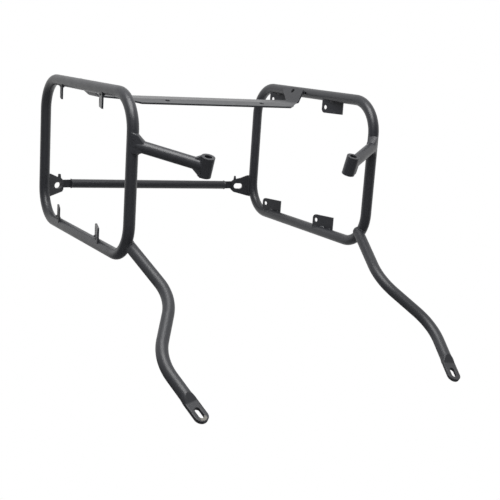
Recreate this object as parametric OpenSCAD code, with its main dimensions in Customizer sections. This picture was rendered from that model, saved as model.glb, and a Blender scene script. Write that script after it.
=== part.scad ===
// Pannier frame: two tubular loops for side cases, joined by a bent sheet
// plate on top and a lower rear crossbar. Millimetres.
// +X is the left side of the vehicle, -Y is forward, +Z is up.
// The origin is the middle of the line between the two rack holes, on the
// top face of the plate's lip. X = 0 is the mirror plane.

/* [Loops] */
// outside diameter of the loop tube
tube_d = 19; // [14:0.5:24]
// mid-plane to the centre line of each loop
loop_x = 232.5; // [210:0.5:270]
// fore-and-aft length between tube centre lines
loop_len = 396; // [330:1:460]
// height between tube centre lines
loop_h = 259; // [220:1:320]
// centre-line radius of the four corners
corner_r = 58; // [35:1:80]
// loop centre behind the rack holes
loop_back = 35; // [10:0.5:60]
// diameter of the vent hole drilled in the top tube
vent_d = 5; // [3:0.5:7]
// depth of the vent hole
vent_deep = 6; // [3:0.5:8]
// rack holes back to the vent hole
vent_y = 46; // [20:0.5:52]
// centre line of the loop's top tube above the rack holes
loop_rise = 19; // [12:0.5:30]

/* [Tabs] */
// length of a tab along the tube
tab_len = 48; // [35:1:55]
// thickness of the tab plate
tab_t = 3; // [2:0.5:5]
// tab's turn away from the fore-and-aft line
tab_turn = 17; // [0:1:20]
// tube centre line to the tab's free edge
tab_depth = 31.5; // [26:0.5:45]
// tube centre line to the tab's hole
tab_hole_depth = 21; // [17:0.5:30]
// rear edge of the tab to its hole
tab_hole_edge = 7.5; // [6:0.5:15]
// diameter of the tab's hole
tab_hole_d = 8; // [5:0.1:10]
// radius of the tab's rear free corner
tab_corner_r = 7; // [2:0.5:12]
// front upright to the middle of the front tabs
tab_front = 129.5; // [84:0.5:140]
// rear upright to the middle of the rear tabs
tab_rear = 81; // [78:0.5:130]

/* [Top plate] */
// thickness of the bent sheet
sheet_t = 3; // [2:0.5:5]
// distance between the two rack holes
rack_pitch = 192; // [140:1:240]
// diameter of the rack holes
rack_hole_d = 9; // [6:0.1:12]
// slope of the front lip
lip_tilt = 12; // [4:1:25]
// rack holes to the lip's front edge
lip_front = 15.5; // [11:0.5:25]
// rack holes to the lip's bend
lip_rear = 9; // [8:0.5:20]
// mid-plane to the front corner of the lip
lip_half = 151; // [130:1:170]
// mid-plane to the end of the lip's cut corner
lip_cut_half = 165; // [155:1:180]
// front edge back to the end of the cut corner
lip_cut_back = 12; // [5:0.5:20]
// rack holes to the rear edge of the plate
web_rear = 77; // [60:1:110]
// inner radius of the sheet's bends
sheet_bend_r = 3; // [1:0.5:8]
// loop centre line to the flange bend
flange_run = 26.5; // [21:0.5:42]
// slope of the flange that climbs to the loop
flange_tilt = 43; // [25:1:60]
// rack holes back to the flange's front end at the bend
flange_front = 45; // [35:1:60]
// rack holes back to the flange's rear end at the bend
flange_rear = 83; // [75:1:110]
// rack holes back to the flange's front end at the loop
flange_tip_front = 59; // [45:1:75]
// rack holes back to the flange's rear end at the loop
flange_tip_rear = 112; // [90:1:140]
// rack holes back to the relief notch in the flange
notch_y = 90; // [80:1:105]
// radius of the relief notch
notch_r = 4.5; // [2:0.5:8]

/* [Arms] */
// outside diameter of the arm tube
arm_d = 19.5; // [14:0.5:22]
// arm root below the loop's top tube
arm_drop = 75; // [66:0.5:100]
// arm root ahead of the upright's centre line
arm_fwd = 4; // [0:0.5:6]
// width across the arm's root where it meets the loop
arm_root_w = 16.5; // [12:0.5:18]
// half height of the flared weld at the arm root
arm_flare = 18; // [12:0.5:22]
// reach of the flared weld from the loop tube
arm_flare_len = 6.5; // [4:0.5:9]
// thickness of the arm's welded end at the boss
arm_web = 14; // [10:0.5:18]
// growth of that welded end beyond the arm's radius
arm_web_grow = 13; // [5:0.5:16]
// reach of that welded end from the boss
arm_web_len = 9; // [6:0.5:18]

/* [Bosses] */
// outside diameter of the boss sleeve
boss_d = 22; // [18:0.5:30]
// diameter of the boss bore
boss_bore = 12; // [6:0.1:14]
// length of the boss sleeve
boss_len = 33; // [28:0.5:45]
// forward lean of the boss axis
boss_tilt = 19; // [0:1:30]
// mid-plane to the boss centre
boss_x = 138; // [115:0.5:165]
// front tube centre line to the boss centre
boss_fwd = 65.5; // [45:0.5:90]
// boss centre below the arm root
boss_drop = 26; // [5:0.5:45]

/* [Legs] */
// outside diameter of the leg tube
leg_d = 19; // [14:0.5:22]
// place of the leg root round the lower front corner
leg_root_angle = 36; // [25:1:50]
// leg root inboard of the loop's centre line
leg_inset = 5; // [2:0.5:8]
// centre-line radius of the leg bends
leg_bend_r = 90; // [50:1:110]
// mid-plane to the upper knee
knee1_x = 200.5; // [185:0.5:225]
// upper knee ahead of the front tube
knee1_fwd = 94; // [75:0.5:115]
// upper knee below the bottom tube
knee1_drop = 37.5; // [20:0.5:55]
// mid-plane to the lower knee
knee2_x = 257.5; // [240:0.5:275]
// lower knee ahead of the front tube
knee2_fwd = 176; // [160:0.5:190]
// lower knee below the bottom tube
knee2_drop = 102; // [85:0.5:120]
// mid-plane to the slot in the foot
foot_x = 234; // [215:0.5:250]
// slot in the foot ahead of the front tube
foot_fwd = 260.5; // [245:0.5:285]
// slot in the foot below the bottom tube
foot_drop = 156.5; // [140:0.5:175]
// width of the flattened foot
foot_w = 22; // [20:0.5:32]
// thickness of the flattened foot
foot_t = 5; // [3:0.5:7]
// length of the flat, from its start to the slot centre
foot_flat = 20; // [14:0.5:28]
// length over which the round tube is pressed flat
foot_press = 14; // [8:0.5:20]
// width of the slot in the foot
foot_slot_w = 9; // [6:0.1:12]
// length of the slot in the foot, end to end
foot_slot_len = 18; // [12:0.5:24]

/* [Crossbar] */
// outside diameter of the crossbar tube
bar_d = 17; // [12:0.5:20]
// crossbar above the loop's bottom tube
bar_rise = 51.5; // [46:0.5:80]
// height of each crossbar end off the mean, down on the left
bar_skew = 4.5; // [0:0.5:6]
// rearward turn of the gusset plates
gusset_turn = 20; // [0:1:25]
// thickness of the gusset plates
gusset_t = 4; // [2:0.5:6]
// rear tube centre line to the gusset's inboard edge
gusset_reach = 45; // [42:0.5:60]
// gusset's top corner at the rear tube, above its slot
gusset_top = 24; // [20:0.5:30]
// gusset's bottom corner at the rear tube, below its slot
gusset_base = 22; // [18:0.5:30]
// rear tube centre line to the slot in the gusset
eye_reach = 32.5; // [27:0.5:38]
// width of the slots in gusset and lug
eye_slot_w = 12; // [6:0.5:15]
// length of the slots in gusset and lug, end to end
eye_slot_len = 18.5; // [15:0.5:20]
// slots below the crossbar's centre line
eye_drop = 1.5; // [0:0.5:4]
// half width of the lug's eye
eye_r = 14; // [12:0.5:18]
// thickness of the lug
lug_t = 4; // [3:0.5:6]
// width of the lug's neck
neck_w = 15; // [8:0.5:18]
// gusset slot to the bend in the neck
neck_bend = 15; // [12:0.5:24]
// length of the neck from its bend to the tube
neck_len = 16; // [10:0.5:30]
// width of the weld ring between neck and tube
ring_len = 3; // [1.5:0.5:6]
// weld ring's height above the tube
ring_h = 0.9; // [0.3:0.1:2]
// height of the locating nib above the middle of the lug's eye
nib_h = 21; // [18:0.5:24]
// width of the locating nib at its root
nib_w = 6; // [4:0.5:8]
// locating nib inboard of the middle of the lug's eye
nib_in = 7; // [0:0.5:8]

/* [Hidden] */
$fn = 40;
// a bent tube draws in a little, and its straights lap the bend
bend_draw = 0.02;
bend_lap = 1;
tube_r = tube_d / 2;
loop_drop = loop_h / 2 - loop_rise;
front_y = loop_back - loop_len / 2;
rear_y = loop_back + loop_len / 2;
top_z = -loop_drop + loop_h / 2;
bottom_z = -loop_drop - loop_h / 2;
bar_z = bottom_z + bar_rise;
arm_z = top_z - arm_drop;
boss_y = front_y - boss_fwd;
boss_z = arm_z - boss_drop;
bend_out = sheet_bend_r + sheet_t;
web_y = lip_rear * cos(lip_tilt) + bend_out * sin(lip_tilt);
web_z = lip_rear * sin(lip_tilt) + bend_out * (1 - cos(lip_tilt));
flange_x = loop_x - flange_run;
flange_start = flange_x - sheet_bend_r * tan(flange_tilt / 2);
eye_gap = (gusset_t + lug_t) / 2;
eye_x = loop_x - eye_reach * cos(gusset_turn) + eye_gap * sin(gusset_turn);
eye_y = rear_y + eye_reach * sin(gusset_turn) + eye_gap * cos(gusset_turn);
neck_x = eye_x - neck_bend * cos(gusset_turn);
bar_y = eye_y + neck_bend * sin(gusset_turn);
bar_half = neck_x - neck_len - ring_len;
bar_tilt = atan(bar_skew / (bar_half + ring_len));
leg_root = [
    loop_x - leg_inset,
    front_y + corner_r - corner_r * cos(leg_root_angle),
    bottom_z + corner_r - corner_r * sin(leg_root_angle)
];
knee1 = [knee1_x, front_y - knee1_fwd, bottom_z - knee1_drop];
knee2 = [knee2_x, front_y - knee2_fwd, bottom_z - knee2_drop];
foot = [foot_x, front_y - foot_fwd, bottom_z - foot_drop];

// unit vector along v
function unit(v) = v / norm(v);
// angles that turn the x, y and z axes onto the directions a, b and c
function turn(a, b, c) = [atan2(b.z, c.z), asin(-a.z), atan2(a.y, a.x)];
// angle between two directions
function angle_between(a, b) = acos(unit(a) * unit(b));
// distance from a knee to where its bend starts
function setback(a, b) = leg_bend_r * tan(angle_between(a, b) / 2);

// right-hand copy of a left-hand shape
module mirrored() {
    mirror([1, 0, 0]) children();
}

// round bar between two points
module rod(a, b, r) {
    d = b - a;
    translate(a)
        rotate([0, acos(d.z / norm(d)), atan2(d.y, d.x)])
            cylinder(h = norm(d), r = r);
}

// bent part of a tube at corner v, between the directions a and b
module elbow(v, a, b, r) {
    da = unit(a);
    db = unit(b);
    w = angle_between(a, b);
    c = v + unit(db - da) * leg_bend_r / cos(w / 2);
    x = unit(v - da * setback(a, b) - c);
    translate(c)
        rotate(turn(x, da, cross(x, da)))
            rotate_extrude(angle = w)
                translate([leg_bend_r, 0])
                    circle(r = r);
}

// one straight side of the loop, along the fore-and-aft line
module loop_rail(z) {
    translate([loop_x, front_y + corner_r, z])
        rotate([-90, 0, 0])
            cylinder(h = loop_len - 2 * corner_r, r = tube_r);
}

// one upright of the loop
module loop_upright(y) {
    translate([loop_x, y, bottom_z + corner_r])
        cylinder(h = loop_h - 2 * corner_r, r = tube_r);
}

// one bent corner; a is the start angle seen from the side
module loop_corner(y, z, a) {
    translate([loop_x, y, z])
        rotate([a, 0, 0])
            rotate([90, 0, 90])
                rotate_extrude(angle = 90)
                    translate([corner_r, 0])
                        circle(r = tube_r);
}

// closed loop bent from one tube
module loop() {
    loop_rail(top_z);
    loop_rail(bottom_z);
    loop_upright(front_y);
    loop_upright(rear_y);
    loop_corner(rear_y - corner_r, top_z - corner_r, 0);
    loop_corner(front_y + corner_r, top_z - corner_r, 90);
    loop_corner(front_y + corner_r, bottom_z + corner_r, 180);
    loop_corner(rear_y - corner_r, bottom_z + corner_r, 270);
}

// loop with its vent hole, drilled in from the inboard side
module vented_loop() {
    difference() {
        loop();
        translate([loop_x - tube_r - 1, vent_y, top_z])
            rotate([0, 90, 0])
                cylinder(h = vent_deep + 1, d = vent_d);
    }
}

// outline of a tab: x runs rearward, y runs from the free edge to the tube
module tab_outline() {
    difference() {
        union() {
            translate([-tab_len / 2, 0])
                square([tab_len - tab_corner_r, tab_depth]);
            translate([-tab_len / 2, tab_corner_r])
                square([tab_len, tab_depth - tab_corner_r]);
            translate([tab_len / 2 - tab_corner_r, tab_corner_r])
                circle(r = tab_corner_r);
        }
        translate([tab_len / 2 - tab_hole_edge, tab_depth - tab_hole_depth])
            circle(d = tab_hole_d);
    }
}

// tab plate on the left loop; up is 1 below the top tube, -1 above the bottom
module tab(y, up) {
    z = up > 0 ? top_z - tab_depth : bottom_z + tab_depth;
    difference() {
        translate([loop_x, y, z])
            rotate([0, 0, tab_turn])
                mirror([0, 0, up > 0 ? 0 : 1])
                    rotate([90, 0, 90])
                        linear_extrude(height = tab_t, center = true)
                            tab_outline();
        loop();
    }
}

// obround of a given length and width
module obround(len, wid) {
    for (s = [-1, 1])
        translate([s * (len - wid) / 2, 0])
            circle(d = wid);
    square([len - wid, wid], center = true);
}

// places a flat shape in the plane of the left gusset: x runs inboard from
// the rear tube, y runs up from the slot; down is 1 on the lower side
module in_gusset_plane(offset, down) {
    translate([loop_x, rear_y, bar_z - eye_drop - down * bar_skew])
        rotate([0, 0, 180 - gusset_turn])
            rotate([90, 0, 0])
                translate([0, 0, offset])
                    children();
}

// places a shape on the crossbar's line
module in_bar_line(down) {
    translate([0, bar_y, bar_z])
        rotate([0, down * bar_tilt, 0])
            children();
}

// gusset plate welded to the rear tube
module gusset(down) {
    g = gusset_reach;
    t = gusset_top;
    b = gusset_base;
    difference() {
        in_gusset_plane(0, down)
            linear_extrude(height = gusset_t, center = true)
                difference() {
                    polygon([
                        [0, t], [0.29 * g, t], [0.38 * g, 0.93 * t],
                        [0.52 * g, 0.82 * t], [0.63 * g, 0.73 * t],
                        [0.82 * g, 0.64 * t], [0.93 * g, 0.49 * t],
                        [g, 0.31 * t], [g, -0.4 * b], [0.94 * g, -0.58 * b],
                        [0.29 * g, -0.9 * b], [0, -b]
                    ]);
                    translate([eye_reach, 0])
                        obround(eye_slot_len, eye_slot_w);
                }
        loop();
    }
}

// flat eye and bent neck of the lug, with the weld ring on the tube's end
module lug(down) {
    x = eye_reach + neck_bend;
    u = [cos(gusset_turn), -sin(gusset_turn)];
    h = lug_t / 2;
    k = h * tan(gusset_turn / 2);
    far = [x, 0] + u * (neck_len + ring_len / 2);
    side = [-u.y, u.x] * h;
    in_gusset_plane(eye_gap, down)
        difference() {
            union() {
                linear_extrude(height = lug_t, center = true)
                    translate([eye_reach, 0]) {
                        obround(2 * eye_r + eye_slot_len - eye_slot_w, 2 * eye_r);
                        // locating nib
                        polygon([
                            [nib_in - nib_w / 2, 0.8 * eye_r],
                            [nib_in + nib_w / 2, 0.8 * eye_r],
                            [nib_in + nib_w / 4, nib_h],
                            [nib_in - nib_w / 4, nib_h]
                        ]);
                    }
                // neck, bent back to run straight across the vehicle
                translate([0, eye_drop, 0])
                    rotate([90, 0, 0])
                        linear_extrude(height = neck_w, center = true)
                            polygon([
                                [eye_reach, -h], [x - k, -h], far - side,
                                far + side, [x + k, h], [eye_reach, h]
                            ]);
            }
            linear_extrude(height = lug_t + 2, center = true)
                translate([eye_reach, 0])
                    obround(eye_slot_len, eye_slot_w);
        }
    // weld ring
    in_bar_line(down)
        translate([bar_half, 0, 0])
            rotate([0, 90, 0])
                rotate_extrude()
                    polygon([
                        [0, 0], [bar_d / 2, 0], [bar_d / 2 + ring_h, ring_len / 2],
                        [bar_d / 2 - ring_h, ring_len], [0, ring_len]
                    ]);
}

// boss sleeve, drilled through
module boss() {
    translate([boss_x, boss_y, boss_z])
        rotate([boss_tilt, 0, 0])
            difference() {
                cylinder(h = boss_len, d = boss_d, center = true);
                cylinder(h = boss_len + 2, d = boss_bore, center = true);
            }
}

// room taken by the boss sleeve
module boss_room() {
    translate([boss_x, boss_y, boss_z])
        rotate([boss_tilt, 0, 0])
            cylinder(h = boss_len + 20, d = boss_d, center = true);
}

// arm tube from the front upright to the boss, flared where it is welded
module arm() {
    a = [loop_x, front_y - arm_fwd, arm_z];
    b = [boss_x, boss_y, boss_z];
    d = b - a;
    len = norm(d);
    r = arm_d / 2;
    difference() {
        translate(a)
            rotate([0, acos(d.z / len), atan2(d.y, d.x)])
                union() {
                    translate([0, 0, tube_r + arm_flare_len])
                        cylinder(h = len - tube_r - arm_flare_len, r = r);
                    // tube drawn in towards the loop
                    cylinder(h = tube_r + arm_flare_len, r1 = arm_root_w / 2, r2 = r);
                    // flare on the loop
                    intersection() {
                        union() {
                            cylinder(h = tube_r - arm_flare_len, r = arm_flare);
                            translate([0, 0, tube_r - arm_flare_len])
                                cylinder(h = 2 * arm_flare_len, r1 = arm_flare, r2 = r);
                        }
                        translate([-loop_h / 2, -arm_root_w / 2, 0])
                            cube([loop_h, arm_root_w, len]);
                    }
                    // weld and web between the boss's two ends
                    intersection() {
                        translate([0, 0, len - boss_d / 2 - arm_web_len])
                            cylinder(
                                h = boss_d / 2 + arm_web_len,
                                r1 = 0.97 * r,
                                r2 = r + arm_web_grow
                            );
                        translate([-boss_len / 2, -arm_web / 2, 0])
                            cube([boss_len, arm_web, len]);
                    }
                }
        loop();
        boss_room();
        // nothing behind the middle of the upright
        translate(a)
            rotate([0, 0, atan2(d.y, d.x)])
                translate([arm_fwd - loop_h, -loop_h / 2, -loop_h / 2])
                    cube(loop_h);
        // the far side of the boss stays clear
        translate([boss_x, boss_y, boss_z])
            rotate([0, 0, atan2(d.y, d.x)])
                translate([0, -loop_h / 2, -loop_h / 2])
                    cube(loop_h);
    }
}

// leg tube with two bends and a pressed, slotted foot
module leg() {
    a = knee1 - leg_root;
    b = knee2 - knee1;
    c = foot - knee2;
    ua = unit(a);
    ub = unit(b);
    uc = unit(c);
    w = unit([1, 0, 0] - uc * uc.x);
    r = leg_d / 2;
    s1 = setback(a, b) - bend_lap;
    s2 = setback(b, c) - bend_lap;
    press_start = norm(c) - foot_flat - foot_press;
    tip = (foot_slot_len - foot_slot_w) / 2;
    difference() {
        union() {
            // end closed by weld
            translate(leg_root)
                sphere(r = r + 0.4);
            rod(leg_root, knee1 - ua * s1, r);
            elbow(knee1, a, b, r - bend_draw);
            rod(knee1 + ub * s1, knee2 - ub * s2, r);
            elbow(knee2, b, c, r - bend_draw);
            // z runs down the leg, x across the flat
            translate(knee2)
                rotate(turn(w, cross(uc, w), uc)) {
                    translate([0, 0, s2])
                        cylinder(h = press_start + 1 - s2, r = r);
                    // round tube pressed flat
                    translate([0, 0, press_start])
                        intersection() {
                            cylinder(h = foot_press, r1 = r - bend_draw, r2 = foot_w / 2);
                            rotate([90, 0, 90])
                                linear_extrude(height = 2 * foot_w, center = true)
                                    polygon([
                                        [-r - 1, -1], [r + 1, -1],
                                        [foot_t / 2, foot_press], [-foot_t / 2, foot_press]
                                    ]);
                        }
                    // flat with the slot
                    translate([0, 0, norm(c)])
                        rotate([90, 0, 0])
                            linear_extrude(height = foot_t, center = true)
                                difference() {
                                    union() {
                                        translate([-foot_w / 2, -foot_flat - bend_lap])
                                            square([foot_w, foot_flat + bend_lap + tip]);
                                        translate([0, tip])
                                            circle(d = foot_w);
                                    }
                                    rotate(90)
                                        obround(foot_slot_len, foot_slot_w);
                                }
                }
        }
        loop();
    }
}

// crossbar tube between the two lugs
module bar() {
    in_bar_line(1)
        translate([-bar_half, 0, 0])
            rotate([0, 90, 0])
                cylinder(h = 2 * bar_half, d = bar_d);
}

// points on an arc about c, from angle a to angle b
function arc(c, r, a, b) = [
    for (i = [0:6]) c + r * [cos(a + (b - a) * i / 6), sin(a + (b - a) * i / 6)]
];

// section of the flange, seen along the vehicle: a strip of web, the bend
// and the slope up to the loop
module flange_section() {
    c = [flange_start, web_z + sheet_bend_r];
    u = [cos(flange_tilt), sin(flange_tilt)];
    n = [sin(flange_tilt), -cos(flange_tilt)];
    far = (loop_x + tube_r - flange_start) / cos(flange_tilt);
    polygon(concat(
        [[flange_start - 1, web_z - sheet_t]],
        arc(c, bend_out, -90, flange_tilt - 90),
        [c + n * bend_out + u * far, c + n * sheet_bend_r + u * far],
        arc(c, sheet_bend_r, flange_tilt - 90, -90),
        [[flange_start - 1, web_z]]
    ));
}

// section of lip and web, seen from the side
module web_section() {
    c = [web_y, web_z - bend_out];
    u = [cos(lip_tilt), sin(lip_tilt)];
    n = [-sin(lip_tilt), cos(lip_tilt)];
    polygon(concat(
        [c + n * sheet_bend_r - u * (lip_front + lip_rear + 10)],
        arc(c, sheet_bend_r, 90 + lip_tilt, 90),
        [[flange_rear + 5, web_z - sheet_t], [flange_rear + 5, web_z]],
        arc(c, bend_out, 90, 90 + lip_tilt),
        [c + n * bend_out - u * (lip_front + lip_rear + 10)]
    ));
}

// left flange, trimmed in plan and to the loop tube
module flange() {
    tip_x = loop_x;
    slope_f = (flange_tip_front - flange_front) / (loop_x - tube_r - flange_x);
    slope_r = (flange_tip_rear - flange_rear) / (loop_x - tube_r - flange_x);
    intersection() {
        translate([0, flange_tip_rear + 5, 0])
            rotate([90, 0, 0])
                linear_extrude(height = flange_tip_rear - flange_front + 20)
                    flange_section();
        translate([0, 0, -loop_h / 2])
            linear_extrude(height = loop_h)
                polygon([
                    [flange_start - 1, flange_front],
                    [flange_x, flange_front],
                    [tip_x, flange_front + slope_f * (tip_x - flange_x)],
                    [tip_x, flange_rear + slope_r * (tip_x - flange_x)],
                    [flange_x, flange_rear],
                    [flange_start - 1, flange_rear]
                ]);
    }
}

// outline of the lip and web in plan
module plate_outline() {
    cut_y = -lip_front + lip_cut_back;
    polygon([
        [-lip_half, -lip_front], [lip_half, -lip_front],
        [lip_cut_half, cut_y],
        [flange_start, flange_front], [flange_start, flange_rear],
        [lip_half, web_rear], [-lip_half, web_rear],
        [-flange_start, flange_rear], [-flange_start, flange_front],
        [-lip_cut_half, cut_y]
    ]);
}

// one-piece top plate: sloping lip, web and two flanges
module top_sheet() {
    difference() {
        union() {
            intersection() {
                translate([-flange_x, 0, 0])
                    rotate([90, 0, 90])
                        linear_extrude(height = 2 * flange_x)
                            web_section();
                translate([0, 0, -loop_h / 2])
                    linear_extrude(height = loop_h)
                        plate_outline();
            }
            flange();
            mirrored() flange();
        }
        for (s = [-1, 1])
            rotate([lip_tilt, 0, 0])
                translate([s * rack_pitch / 2, 0, -sheet_t / 2])
                    cylinder(h = sheet_t + 4, d = rack_hole_d, center = true);
        // relief notches at the loops
        for (s = [-1, 1])
            translate([s * (loop_x - tube_r), notch_y, -loop_h / 2])
                cylinder(h = loop_h, r = notch_r);
        loop();
        mirrored() loop();
    }
}

module left_loop() { color("black") vented_loop(); }
module right_loop() { color("black") mirrored() vented_loop(); }
module left_tab_upper_front() { color("black") tab(front_y + tab_front, 1); }
module left_tab_upper_rear() { color("black") tab(rear_y - tab_rear, 1); }
module left_tab_lower_front() { color("black") tab(front_y + tab_front, -1); }
module left_tab_lower_rear() { color("black") tab(rear_y - tab_rear, -1); }
module right_tab_upper_front() { color("black") mirrored() tab(front_y + tab_front, 1); }
module right_tab_upper_rear() { color("black") mirrored() tab(rear_y - tab_rear, 1); }
module right_tab_lower_front() { color("black") mirrored() tab(front_y + tab_front, -1); }
module right_tab_lower_rear() { color("black") mirrored() tab(rear_y - tab_rear, -1); }
module left_gusset() { color("black") gusset(1); }
module right_gusset() { color("black") mirrored() gusset(-1); }
module left_arm() { color("black") arm(); }
module right_arm() { color("black") mirrored() arm(); }
module left_boss() { color("black") boss(); }
module right_boss() { color("black") mirrored() boss(); }
module left_leg() { color("black") leg(); }
module right_leg() { color("black") mirrored() leg(); }
module crossbar() { color("black") bar(); }
module left_lug() { color("black") lug(1); }
module right_lug() { color("black") mirrored() lug(-1); }
module top_plate() { color("black") top_sheet(); }

left_loop();
right_loop();
left_tab_upper_front();
left_tab_upper_rear();
left_tab_lower_front();
left_tab_lower_rear();
right_tab_upper_front();
right_tab_upper_rear();
right_tab_lower_front();
right_tab_lower_rear();
left_gusset();
right_gusset();
left_arm();
right_arm();
left_boss();
right_boss();
left_leg();
right_leg();
crossbar();
left_lug();
right_lug();
top_plate();
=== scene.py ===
"""Looks, weld seams, studio and camera for the pannier frame.

The exact model gives every tube, plate and tab. This script adds the weld
seams that join them, shows the top plate by a sheet of its own, and adds the
satin powder coat, the plain studio and the camera. Lengths in the classes are
millimetres, as in the part's source, and become metres when a mesh, a light or
the camera is made.
"""

import sys

import logging
import math
from collections.abc import Callable
from dataclasses import dataclass, field
from enum import Enum
from itertools import product

import bpy
import numpy as np
from bpy.types import ID, Material, Node, Object, World
from bpy.types import NodeSocket as Socket
from bpy.types import NodeTree as Tree
from mathutils import Matrix, Vector
from mathutils.geometry import delaunay_2d_cdt

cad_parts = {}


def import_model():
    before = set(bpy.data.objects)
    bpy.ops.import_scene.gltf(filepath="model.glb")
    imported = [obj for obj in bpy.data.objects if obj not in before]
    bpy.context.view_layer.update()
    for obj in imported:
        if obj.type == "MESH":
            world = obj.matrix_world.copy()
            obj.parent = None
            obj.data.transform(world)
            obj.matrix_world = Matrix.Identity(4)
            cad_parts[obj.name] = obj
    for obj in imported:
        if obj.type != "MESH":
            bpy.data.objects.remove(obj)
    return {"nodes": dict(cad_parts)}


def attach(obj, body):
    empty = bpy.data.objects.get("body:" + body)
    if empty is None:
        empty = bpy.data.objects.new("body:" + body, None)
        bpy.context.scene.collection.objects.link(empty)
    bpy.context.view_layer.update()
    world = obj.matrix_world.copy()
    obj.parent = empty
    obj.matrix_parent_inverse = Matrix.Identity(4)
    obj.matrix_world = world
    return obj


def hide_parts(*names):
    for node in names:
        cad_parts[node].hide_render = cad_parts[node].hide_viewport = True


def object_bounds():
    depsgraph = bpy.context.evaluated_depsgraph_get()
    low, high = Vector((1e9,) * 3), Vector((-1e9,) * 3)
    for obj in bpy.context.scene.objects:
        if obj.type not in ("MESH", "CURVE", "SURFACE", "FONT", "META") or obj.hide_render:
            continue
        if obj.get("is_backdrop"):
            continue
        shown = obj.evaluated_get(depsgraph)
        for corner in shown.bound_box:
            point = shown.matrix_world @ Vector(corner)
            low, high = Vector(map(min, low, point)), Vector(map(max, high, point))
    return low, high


LOG = logging.getLogger("pannier_frame")
MM = 0.001
BODY = "root"
WHITE = (1.0, 1.0, 1.0, 1.0)
UP = np.array([0.0, 0.0, 1.0])
# signs of a sheet's two faces along its normal
BOTH_FACES = (-1, 1)
# samples along a line that looks for a surface
TOUCH_SAMPLES = 400
# steps onto a surface, and the length over which its gradient is felt, in mm
SETTLE_STEPS = 3
SETTLE_PROBE = 0.01
# what keeps a division from zero, and joins plan points this close, in mm
TINY = 1e-6
# twice the area under which a plan triangle is a sliver, in square mm
SLIVER = 1e-9

Points = np.ndarray
Shell = tuple[Points, list[list[int]]]
Path = Callable[[Points], Points]
Distance = Callable[[Points], Points]
Pair = tuple[float, float]
Place = tuple[float, float, float]


class Side(Enum):
    """Side of the vehicle; the value is the sign of X there."""

    LEFT = 1
    RIGHT = -1


class Row(Enum):
    """Row of tabs; the value is 1 below the top tube, -1 above the bottom."""

    UPPER = 1
    LOWER = -1


# Shape tools


def unit(v: Points) -> Points:
    """Vectors scaled to length one along the last axis."""
    return v / np.linalg.norm(v, axis=-1, keepdims=True)


def axes(span: Points) -> tuple[Points, Points, Points]:
    """Directions along and across a span that doesn't stand upright.

    Args:
        span: the vector.

    Returns:
        Its direction, the one square to it that points down, and the level one.
    """
    u = unit(span)
    across = unit(np.array([-u[1], u[0], 0.0]))
    return u, np.cross(across, u), across


def turns(low: Points, across: Points, count: int) -> tuple[Points, Points]:
    """Equal turns round a centre line.

    Args:
        low: direction at the first turn.
        across: direction a quarter turn on.
        count: number of turns.

    Returns:
        The angles t, and the direction at each: cos t low + sin t across.
    """
    t = np.linspace(0, 2 * np.pi, count, endpoint=False)
    return t, np.cos(t)[:, None] * low + np.sin(t)[:, None] * across


def first_touch(
    path: Path, start: float, stop: float, count: int, distance: Distance
) -> tuple[Points, Points]:
    """How far along a family of lines each first meets a surface.

    Every line is sampled from start to stop. The first sample under the
    surface and the one before it are joined by a chord, and the chord's zero
    of the distance is the answer.

    Args:
        path: gives the lines' points, (samples, lines, 3), at such samples.
        start: sample value outside the surface.
        stop: sample value inside the surface.
        count: number of lines.
        distance: signed distance to the surface, negative inside.

    Returns:
        The sample value of each line, and whether it met the surface at all.
    """
    q = np.linspace(start, stop, TOUCH_SAMPLES)
    gap = distance(path(q[:, None] * np.ones(count)))
    under = gap < 0
    i = np.maximum(under.argmax(axis=0), 1)
    lines = np.arange(count)
    before, after = gap[i - 1, lines], gap[i, lines]
    w = before / (before - after)
    return q[i - 1] * (1 - w) + q[i] * w, under.any(axis=0)


def settle(points: Points, distance: Distance) -> Points:
    """Points moved square to a surface until they lie on it.

    Each step is the distance along its own gradient, which is taken from the
    difference between a probe's length ahead and one behind.

    Args:
        points: points near the surface.
        distance: signed distance to the surface.

    Returns:
        The points on the surface.
    """
    h = SETTLE_PROBE
    for _ in range(SETTLE_STEPS):
        slope = [distance(points + h * e) - distance(points - h * e) for e in np.eye(3)]
        points = points - distance(points)[..., None] * unit(np.stack(slope, -1))
    return points


def add_object(name: str, data: ID) -> Object:
    """New object in the scene, at the origin.

    Args:
        name: its name.
        data: its mesh, lamp or camera.

    Returns:
        The object.
    """
    obj = bpy.data.objects.new(name, data)
    bpy.context.scene.collection.objects.link(obj)
    return obj


def make_mesh(name: str, parts: list[Shell]) -> Object:
    """One smooth mesh object from several shells given in millimetres.

    Args:
        name: the object's name.
        parts: vertices and faces of each shell.

    Returns:
        The object, at the origin, with its place in its mesh.
    """
    starts = np.cumsum([0] + [len(v) for v, _ in parts])
    verts = np.concatenate([v for v, _ in parts]) * MM
    faces = [tuple(int(k) + int(s) for k in f) for s, (_, fs) in zip(starts, parts) for f in fs]
    mesh = bpy.data.meshes.new(name)
    mesh.from_pydata(verts.tolist(), [], faces)
    mesh.polygons.foreach_set("use_smooth", np.ones(len(mesh.polygons), dtype=bool))
    mesh.update()
    return add_object(name, mesh)


def tube_faces(rings: int, around: int, closed: bool) -> list[list[int]]:
    """Faces of a tube made of rings of points.

    Args:
        rings: number of rings.
        around: points in each ring.
        closed: whether the last ring joins the first; if not, both are capped.

    Returns:
        The corners of each face.
    """
    k = np.arange(around)
    turned = (k + 1) % around
    rows = np.arange(rings if closed else rings - 1)[:, None] * around
    after = (rows + around) % (rings * around)
    faces = np.stack([rows + k, rows + turned, after + turned, after + k], -1)
    faces = faces.reshape(-1, 4).tolist()
    if not closed:
        last = (rings - 1) * around
        faces += [k[::-1].tolist(), (last + k).tolist()]
    return faces


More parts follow.
